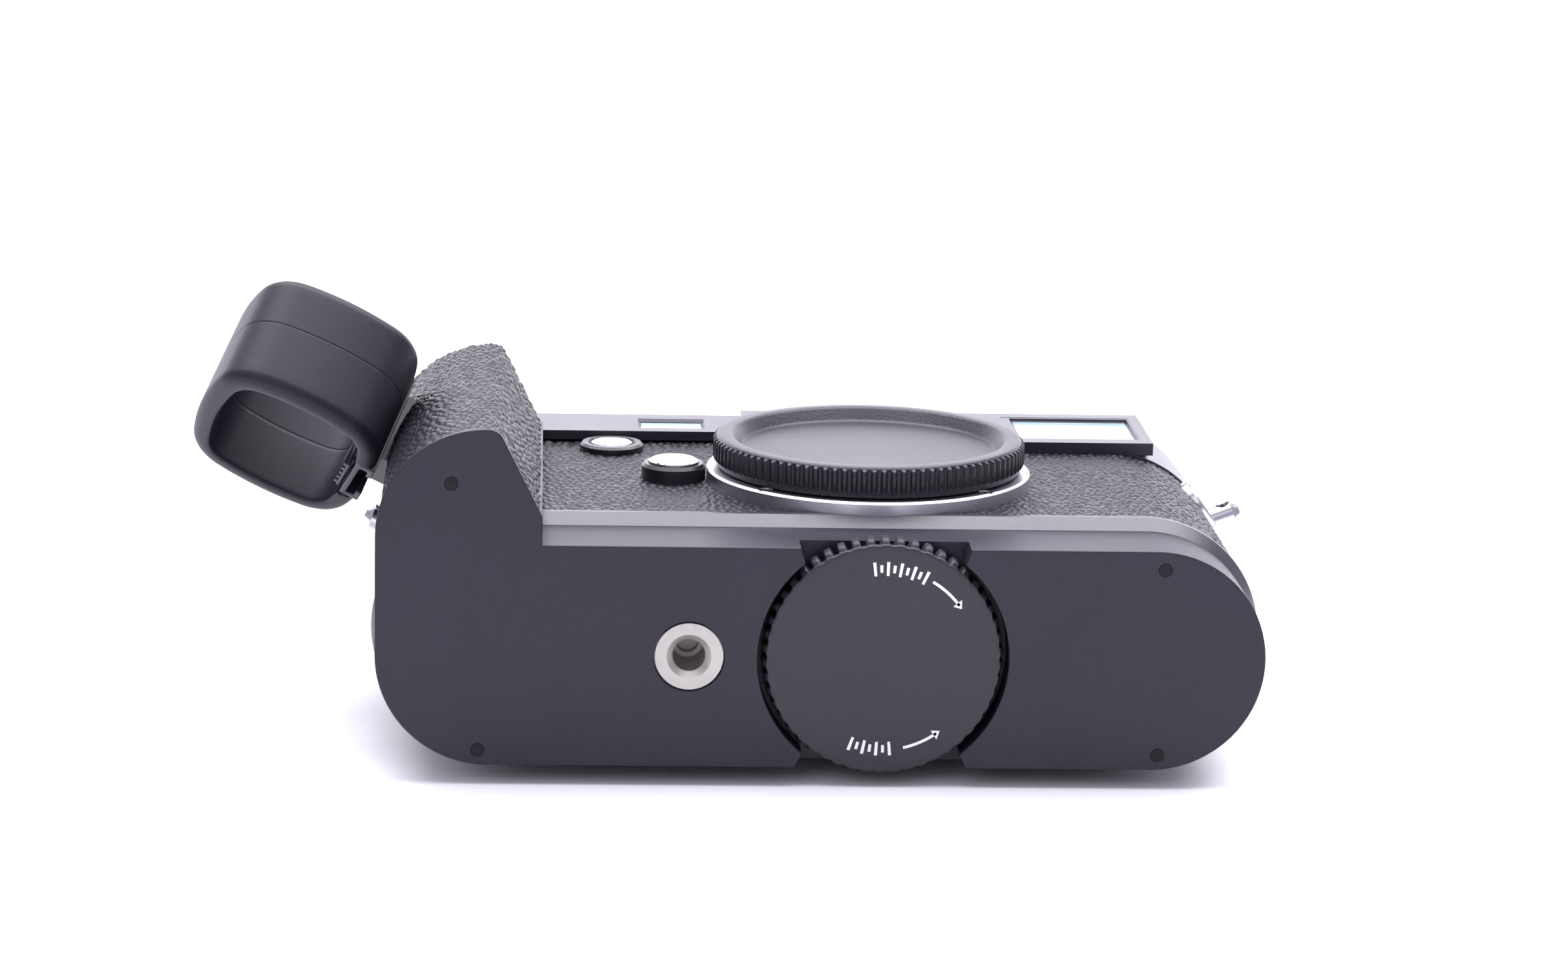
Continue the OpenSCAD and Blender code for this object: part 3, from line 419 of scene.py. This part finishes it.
def back_leather():
    """The leather on the back, open for the monitor, the pad, the keys and the thumb wheel."""
    def keep(x, z, y):
        ok = outside(x, y, PAD_HOLE)
        for cx, cy, half_w, half_h in BACK_WINDOWS:
            ok &= ~((abs(x - cx) < half_w) & (abs(y - cy) < half_h))
        return ok

    hide_of("leather_back", "back_leather", np.array([[-60.0, 0.6], [41.0, 0.6]]),
            np.array([[0.0, -1.0], [0.0, -1.0]]), (LEATHER_LOW_Y, 25.5), keep, seed=23)


def lathe(name, profile, columns, mat, body, node, place, ripple):
    """A closed shape turned about an axis. profile is (radius, height) from axis to axis, and
    ripple(k, radius) gives the radius of row k in every column, as teeth and ribs need."""
    turn = np.linspace(0, 2 * math.pi, columns, endpoint=False)
    rows = []
    for k, (radius, height) in enumerate(profile):
        r = ripple(k, radius)
        rows.append(place(r * np.cos(turn), r * np.sin(turn), np.full(columns, height)))
    ends = [place(np.zeros(1), np.zeros(1), np.array([profile[k][1]])) for k in (0, -1)]
    first = len(profile) * columns
    column = np.arange(columns)
    after = np.roll(column, -1)
    faces = []
    for k in range(len(profile) - 1):
        faces += np.stack([k * columns + column, (k + 1) * columns + column,
                           (k + 1) * columns + after, k * columns + after], 1).tolist()
    last_row = (len(profile) - 1) * columns
    faces += [(first, int(c), int(n)) for c, n in zip(column, after)]
    faces += [(first + 1, int(last_row + n), int(last_row + c)) for c, n in zip(column, after)]
    make(name, np.concatenate(rows + ends), faces, mat, body, (node,))


CAP_RIB = np.array([0, 0, 0.35, 1, 1, 1, 1, 0.35, 0, 0])  # one rib's height round the rim
CAP_RIBS, CAP_GROOVE_R = 100, 24.78


def body_cap():
    """The cap: a dished floor, a rounded lip, ribs round the rim and the tube behind."""
    lip = [(6, 45.2), (12, 45.2), (17, 45.2), (20.2, 45.2), (20.5, 45.24), (20.75, 45.36),
           (20.95, 45.6), (22.1, 46.95), (22.25, 47.12), (22.5, 47.24), (22.8, 47.28),
           (24.3, 47.28), (24.5, 47.24), (24.65, 47.14), (24.75, 47.0), (24.85, 46.9)]
    ribbed = [(25.1, 46.8), (25.3, 46.66), (25.4, 46.45), (25.4, 45.0), (25.4, 43.6),
              (25.3, 43.36), (25.05, 43.15)]
    behind = [(24.75, 43.1), (24.7, 43.0), (24.7, 42.34), (24.6, 42.3), (22.0, 42.3),
              (21.95, 42.25), (21.95, 38.9), (20.2, 38.9), (20.2, 43.6), (10.0, 43.6)]
    wave = np.tile(CAP_RIB, CAP_RIBS)

    def ripple(k, radius):
        if len(lip) <= k < len(lip) + len(ribbed):
            groove = np.minimum(CAP_GROOVE_R, radius)
            return groove + wave * max(0.0, radius - CAP_GROOVE_R)
        return np.full(wave.shape, radius)

    def place(a, b, height):
        return np.stack([a, b, height], -1)

    lathe("lens_cap", lip + ribbed + behind, len(wave), CAP_RIM, "cap",
          "body_cap", place, ripple)


TOOTH = np.array([0, 0, 0.15, 0.9, 1, 1, 1, 1, 1, 0.9, 0.15, 0])  # one tooth's height
WHEEL_TEETH, TOOTH_ROOT_R = 50, 17.3
FACE_NOTCH, FACE_FLAT_ROWS = 0.14, 4


def lock_wheel():
    """The lock wheel: a face disc, and chamfered teeth that stand out behind it."""
    disc = [(5, 0), (10, 0), (14, 0), (17.4, 0), (17.85, 0), (18.1, 0.05), (18.26, 0.17),
            (18.3, 0.35), (18.3, 1.0)]
    teeth = [(17.6, 1.05), (18.2, 1.1), (18.82, 1.75), (18.87, 1.95), (18.87, 4.4),
             (18.65, 4.75)]
    behind = [(16.8, 4.8), (3.0, 4.8)]
    wave = np.tile(TOOTH, WHEEL_TEETH)

    def ripple(k, radius):
        if len(disc) <= k < len(disc) + len(teeth):
            return TOOTH_ROOT_R + wave * (radius - TOOTH_ROOT_R)
        if FACE_FLAT_ROWS <= k < len(disc):
            return radius - FACE_NOTCH * (1 - wave)
        return np.full(wave.shape, radius)

    def place(a, b, height):
        return np.stack([a, BASE_Y + height, WHEEL_Z + b], -1)

    lathe("lock_wheel_face", disc + teeth + behind, len(wave), WHEEL_PAINT, "lock",
          "lock_wheel", place, ripple)


INK = 0.012
TICK_ROWS = ((14.5, 96.6, 64.5, 9), (14.4, -84.9, -109.4, 7))  # radius, from, to, count
ARROWS = ((14.5, 59.5, 37.0), (14.6, -76.3, -54.0))            # radius, from, to
TICK_HALF, TICK_TALL, TICK_SHORT = 0.23, 1.1, 0.6
ARROW_HALF, HEAD_HALF, HEAD_TIP, HEAD_BACK = 0.22, 0.85, 0.65, 0.5
ARROW_STEPS = 24


def wheel_marks():
    """Two turning arrows printed on the wheel, each with a row of plain ticks behind it."""
    verts, faces = [], []

    def add(radii, angles):
        start = len(verts)
        for r, t in zip(radii, angles):
            verts.append((r * math.cos(t), BASE_Y - INK, WHEEL_Z + r * math.sin(t)))
        faces.append(tuple(range(start, start + len(radii))))

    def add_bar(radius, half, start, end):
        add((radius - half, radius + half, radius + half, radius - half),
            (start, start, end, end))

    for radius, first, last, ticks in TICK_ROWS:
        for k, turn in enumerate(np.radians(np.linspace(first, last, ticks))):
            wide = TICK_HALF / radius
            add_bar(radius, TICK_SHORT if k % 2 else TICK_TALL, turn - wide, turn + wide)
    for radius, first, last in ARROWS:
        steps = np.radians(np.linspace(first, last, ARROW_STEPS))
        for start, end in zip(steps[:-1], steps[1:]):
            add_bar(radius, ARROW_HALF, start, end)
        way = math.copysign(1, last - first)
        tip = steps[-1] + way * HEAD_TIP / radius
        neck = steps[-1] - way * HEAD_BACK / radius
        add((radius, radius - HEAD_HALF, radius + HEAD_HALF), (tip, neck, neck))
    piece = make("wheel_print", verts, faces, PRINT, "lock", smooth=False)
    thick = piece.modifiers.new("ink", "SOLIDIFY")
    thick.thickness = INK * MM
    thick.offset = 0


# the seven strokes of a number: (across, up) of its middle, and whether it lies or stands
STROKES = {"a": (0, 1, 1, 0), "g": (0, 0, 1, 0), "d": (0, -1, 1, 0), "f": (-1, 0.5, 0, 1),
           "b": (1, 0.5, 0, 1), "e": (-1, -0.5, 0, 1), "c": (1, -0.5, 0, 1)}
NUMBERS = ("bc", "abged", "abgcd", "fgbc", "afgcd", "afedcg", "abc", "abcdefg")
NUMBER_INSET, NUMBER_UP, NUMBER_ACROSS, NUMBER_UPRIGHT = 3.1, 0.7, 0.4, 0.25
STROKE_HALF = 0.1


def dial_numbers():
    """Plain numbers from 1 to 8, made of strokes, round the top of the speed dial."""
    spots = np.array([v.co for v in NODES["shutter_dial"].data.vertices]) / MM
    low, high = spots.min(0), spots.max(0)
    centre = (low + high)[[0, 2]] / 2
    ring = (high[0] - low[0]) / 2 - NUMBER_INSET
    verts, faces = [], []
    for k, strokes in enumerate(NUMBERS):
        turn = math.radians(90 - 360 / len(NUMBERS) * k)
        out = np.array([math.cos(turn), math.sin(turn)])
        along = np.array([-out[1], out[0]])
        for x, y, lies, stands in (STROKES[stroke] for stroke in strokes):
            middle = centre + out * (ring + NUMBER_UP * y) + along * NUMBER_ACROSS * x
            half_w = NUMBER_ACROSS * lies + STROKE_HALF
            half_t = NUMBER_UPRIGHT * stands + STROKE_HALF
            start = len(verts)
            for a, b in ((-1, -1), (1, -1), (1, 1), (-1, 1)):
                spot = middle + along * a * half_w + out * b * half_t
                verts.append((spot[0], high[1] + INK, spot[1]))
            faces.append((start, start + 1, start + 2, start + 3))
    make("dial_numbers", verts, faces, PRINT, "dial", smooth=False)


def ring_faces(count, tall):
    """The quads of a closed section of tall points, set count times round a closed ring."""
    return [(k * tall + m, (k + 1) % count * tall + m,
             (k + 1) % count * tall + (m + 1) % tall, k * tall + (m + 1) % tall)
            for k in range(count) for m in range(tall)]


# the rim band's section: height along y, and distance from the middle of the round ends
BAND = np.array([(-28.9, 17.0), (-28.9, 17.16), (-28.8, 17.22), (-26.2, 18.71),
                 (-26.05, 18.75), (-25.06, 18.75), (-24.98, 18.7), (-24.98, 18.2),
                 (-26.9, 17.0)])
BAND_STEPS = 61


def rim_band():
    """The sloping rim round the body, between the grip's base and the leather."""
    verts = []
    for end_x, start in ((END_RIGHT, -90), (END_LEFT, 90)):
        for turn in np.radians(np.linspace(start, start + 180, BAND_STEPS)):
            verts.append(np.stack([end_x + np.cos(turn) * BAND[:, 1], BAND[:, 0],
                                   BODY_Z + np.sin(turn) * BAND[:, 1]], 1))
    piece = make("rim_band", np.concatenate(verts), ring_faces(len(verts), len(BAND)),
                 BODY_PAINT, "camera")
    weigh_normals(piece)


BASE_BEVEL = 0.22
BASE_SHARP = math.radians(35)
FLAT_ANGLE = math.radians(1)
SEAM_WELD, ON_PLANE, CUT_WELD = 0.004 * MM, 0.01 * MM, 0.001 * MM


def base_shell():
    """The hand grip's base: the two CAD nodes as one shell, the edges of its face bevelled."""
    shell = bmesh.new()
    for node in ("grip_base", "grip_toe"):
        shell.from_mesh(NODES[node].data)
    bmesh.ops.remove_doubles(shell, verts=shell.verts, dist=SEAM_WELD)
    # the flat where the two nodes meet is cut off at the bulge's foot and taken out
    foot_x, seam_z = GRIP_FOOT_X * MM, BASE_TOP * MM
    bmesh.ops.bisect_plane(shell, geom=shell.verts[:] + shell.edges[:] + shell.faces[:],
                           dist=CUT_WELD, plane_co=(foot_x, 0, 0), plane_no=(1, 0, 0))
    seam = [face for face in shell.faces if face.calc_center_median().x < foot_x
            and all(abs(v.co.z - seam_z) < ON_PLANE for v in face.verts)]
    bmesh.ops.delete(shell, geom=seam, context="FACES")
    bmesh.ops.remove_doubles(shell, verts=shell.verts, dist=SEAM_WELD)
    bmesh.ops.dissolve_limit(shell, angle_limit=FLAT_ANGLE, verts=shell.verts,
                             edges=shell.edges, delimit=set())
    rim = [edge for edge in shell.edges
           if len(edge.link_faces) == 2 and edge.calc_face_angle(0) > BASE_SHARP
           and all(abs(v.co.y - BASE_Y * MM) < ON_PLANE for v in edge.verts)]
    bmesh.ops.bevel(shell, geom=rim, offset=BASE_BEVEL * MM, offset_type="OFFSET",
                    segments=3, profile=0.5, affect="EDGES", clamp_overlap=False)
    for edge in shell.edges:
        edge.smooth = edge.calc_face_angle(0) < BASE_SHARP
    mesh = bpy.data.meshes.new("base_shell")
    shell.to_mesh(mesh)
    shell.free()
    piece = place_piece("base_shell", mesh, BASE_PAINT, "camera",
                        ("grip_base", "grip_toe"), smooth=True)
    weigh_normals(piece, keep_sharp=True)


# the finger loop's own frame: across the opening away from the grip, then along the opening
LOOP_TURN, LOOP_TILT = math.radians(154), math.radians(46)
LOOP_N, LOOP_W = 14.9, 15.8                  # from the axis to the outer faces
LOOP_HALF, LOOP_WALL = 10.75, 3.3            # half the ring's length, and its thickness
LOOP_LIP = 2.0                               # the round of the outer rims
LOOP_Y, LOOP_GAP = 4.07, 0.45                # its place along the rail, and off the grip
LOOP_SHIFT_DOWN, LOOP_SHIFT_AXIS = 1.44, 0.75
SLOT_HALF, SLOT_FLOOR = 5.2, 9.0             # the latch's slot, in the wall by the grip
LOOP_CORNER, LOOP_BULGE, LOOP_STEP = 8.0, math.radians(12), 0.55
LOOP_OUT = np.array([math.cos(LOOP_TURN), 0.0, math.sin(LOOP_TURN)])
LOOP_DOWN = np.array([math.sin(LOOP_TURN), 0.0, -math.cos(LOOP_TURN)])
LOOP_AXIS = LOOP_DOWN * math.sin(LOOP_TILT) + np.array([0.0, math.cos(LOOP_TILT), 0.0])
LOOP_SIDE = np.cross(LOOP_AXIS, LOOP_OUT)
LOOP_CENTRE = (np.array([GRIP_X, LOOP_Y, GRIP_Z]) + LOOP_OUT * (GRIP_R + LOOP_N + LOOP_GAP)
               - LOOP_DOWN * LOOP_SHIFT_DOWN - LOOP_AXIS * LOOP_SHIFT_AXIS)


def loop_outline(corner, bulge, step):
    """Points and outward normals of a ring with four corners and four slightly round sides."""
    sc, ss = 1 - math.cos(bulge), math.sin(bulge)
    det = sc * sc - ss * ss
    na, wa = LOOP_N - corner, LOOP_W - corner
    un, uw = (na * sc - wa * ss) / det, (wa * sc - na * ss) / det
    points, normals = [], []

    def bow(cx, cy, radius, start, end):
        count = max(4, int(radius * abs(end - start) / step))
        for turn in np.linspace(start, end, count, endpoint=False):
            way = (math.cos(turn), math.sin(turn))
            points.append((cx + radius * way[0], cy + radius * way[1]))
            normals.append(way)

    quarter = math.pi / 2
    for k in range(4):
        far, reach = (uw, wa) if k % 2 else (un, na)
        turn = k * quarter
        bow((reach - far) * math.cos(turn), (reach - far) * math.sin(turn), far + corner,
            turn - bulge, turn + bulge)
        cx = (na - un * sc) * (1 if k in (0, 3) else -1)
        cy = (wa - uw * sc) * (1 if k in (0, 1) else -1)
        bow(cx, cy, corner, turn + bulge, turn + quarter - bulge)
    return np.array(points), np.array(normals)


def loop_section():
    """The ring's section: depth below the outer surface, and height along the axis."""
    h, wall, lip = LOOP_HALF, LOOP_WALL, LOOP_LIP
    fall = np.array([(2.6, 0.0), (2.95, 0.06), (3.15, 0.2), (3.26, 0.45), (wall, 0.8)])
    turns = np.linspace(0.15, math.pi / 2, 7)
    parts = [[(0.0, z) for z in np.linspace(-h + lip, 0.9, 9)],
             [(0.0, 1.02), (0.07, 1.1), (0.07, 1.16), (0.0, 1.24)],
             [(0.0, z) for z in np.linspace(1.4, h - lip, 8)],
             [(lip - lip * math.cos(t), h - lip + lip * math.sin(t)) for t in turns],
             [(depth, h - z) for depth, z in fall],
             [(wall, z) for z in np.linspace(h - 1.6, 0.6, 8)],
             [(wall, 0.3), (wall - 0.03, 0.24), (wall - 0.03, 0.18), (wall, 0.12)],
             [(wall, z) for z in np.linspace(-0.4, -h + 1.4, 8)],
             [(depth, z - h) for depth, z in fall[::-1]],
             [(lip - lip * math.cos(t), -h + lip - lip * math.sin(t)) for t in turns[::-1]]]
    return np.array([point for part in parts for point in part])


def finger_loop():
    """The rubber ring: thin rounded rims, a moulding line round the outside, and its slot."""
    outline, normals = loop_outline(LOOP_CORNER, LOOP_BULGE, LOOP_STEP)
    section = loop_section()
    # the slot's two sides are flat and square across the ring: an outline point moves to each
    slot = (outline[:, 0] < 0) & (abs(outline[:, 1]) < SLOT_HALF)
    rows = []
    for k, (point, normal) in enumerate(zip(outline, normals)):
        if not slot[k] or (slot[k - 1] and slot[k + 1]):
            rows.append((point, normal, slot[k], slot[k]))
            continue
        side = np.array([point[0], math.copysign(SLOT_HALF, point[1])])
        pair = [(side, normal, False, True), (side, normal, True, True)]
        rows += pair if not slot[k - 1] else pair[::-1]
    verts = []
    for point, normal, is_cut, is_square in rows:
        flat = point[None, :] - normal[None, :] * section[:, :1]
        if is_square:
            flat[:, 1] = point[1]
        height = np.maximum(section[:, 1], SLOT_FLOOR) if is_cut else section[:, 1]
        verts.append(LOOP_CENTRE + flat[:, :1] * LOOP_OUT + flat[:, 1:] * LOOP_SIDE
                     + height[:, None] * LOOP_AXIS)
    make("finger_loop", np.concatenate(verts), ring_faces(len(rows), len(section)), RUBBER,
         "loop", ("loop_band",))


front_leather()
grip_leather()
back_leather()
body_cap()
lock_wheel()
wheel_marks()
dial_numbers()
rim_band()
base_shell()
finger_loop()

# how far each node's edges are rounded, in millimetres
EDGES = (
    (0.1, "chassis"),
    (0.12, "mount_ring lug_washers thumb_wheel face_plugs"),
    (0.15, "loop_latch tripod_bush vf_frame"),
    (0.2, "focus_button back_cover hot_shoe shutter_dial shutter_button"),
    (0.25, "release_collar focus_collar strap_lugs movie_button direction_pad"),
    (0.3, "top_plate release_button loop_foot monitor_frame eyepiece_ring power_switch "
          "pad_button " + " ".join(REAR_KEYS)),
    (0.4, "thumb_rest"),
)
for width, names in EDGES:
    for name in names.split():
        soften(name, width)


# ---- camera, floor and light --------------------------------------------------------

CAMERA_AT = Vector((-54.27, -711.28, 199.9)) * MM
LIGHT_TINT = (0.99, 0.98, 1.05)
SKY_TINT, SKY_STRENGTH = (0.98, 0.96, 1.14, 1), 0.66
FLOOR_REACH = 6.0


def look(position, yaw, pitch, roll, lens):
    """A camera turned from +Y by yaw to the right, pitch down and roll, in radians."""
    forward = Vector((math.sin(yaw) * math.cos(pitch), math.cos(yaw) * math.cos(pitch),
                      -math.sin(pitch)))
    level = Vector((math.cos(yaw), -math.sin(yaw), 0))
    rise = level.cross(forward)
    right = math.cos(roll) * level + math.sin(roll) * rise
    up = -math.sin(roll) * level + math.cos(roll) * rise
    data = bpy.data.cameras.new("camera")
    data.lens = lens
    data.sensor_width = 36.0
    data.clip_end = 20.0
    rig = bpy.data.objects.new("camera", data)
    turn = Matrix((right, up, -forward)).transposed().to_4x4()
    rig.matrix_world = Matrix.Translation(position) @ turn
    bpy.context.scene.collection.objects.link(rig)
    bpy.context.scene.camera = rig


def area_light(name, place, aim, size, power):
    """A soft rectangular light that points from its place to its aim, in metres."""
    data = bpy.data.lights.new(name, "AREA")
    data.shape = "RECTANGLE"
    data.size, data.size_y = size
    data.energy = power
    data.color = LIGHT_TINT
    lamp = bpy.data.objects.new(name, data)
    lamp.location = place
    lamp.rotation_euler = (Vector(aim) - Vector(place)).to_track_quat("-Z", "Y").to_euler()
    bpy.context.scene.collection.objects.link(lamp)


def studio():
    """A pale room with soft light from above and behind."""
    bpy.context.scene.view_settings.view_transform = "Standard"
    world = bpy.data.worlds.new("studio")
    bpy.context.scene.world = world
    world.use_nodes = True
    sky = world.node_tree.nodes["Background"]
    sky.inputs["Color"].default_value = SKY_TINT
    sky.inputs["Strength"].default_value = SKY_STRENGTH
    area_light("top_soft", (0.0, 0.0, 1.05), (0, 0, 0), (1.3, 0.8), 15.0)
    area_light("back_soft", (0.05, 0.52, 1.02), (0, 0, 0.03), (1.8, 0.6), 21.0)
    area_light("low_back", (0.0, 2.5, 0.62), (0, 0, 0.04), (4.5, 1.4), 46.0)
    area_light("front_soft", (-0.5, -1.0, 0.7), (-0.03, 0, 0.03), (0.8, 0.6), 1.5)
    mesh = bpy.data.meshes.new("floor")
    corners = [(x * FLOOR_REACH, y * FLOOR_REACH, 0)
               for x, y in ((-1, -1), (1, -1), (1, 1), (-1, 1))]
    mesh.from_pydata(corners, [], [(0, 1, 2, 3)])
    floor = bpy.data.objects.new("floor", mesh)
    bpy.context.scene.collection.objects.link(floor)
    paper = surface("paper", (0.93, 0.93, 0.94), 0.7)
    grain(paper, 400.0, 0.00002, (0.65, 0.75), ((0.92, 0.92, 0.93), (0.94, 0.94, 0.95)),
          patch=4.0)
    mesh.materials.append(paper)


look(CAMERA_AT, yaw=0.057, pitch=0.223, roll=0.024, lens=102.62)
studio()
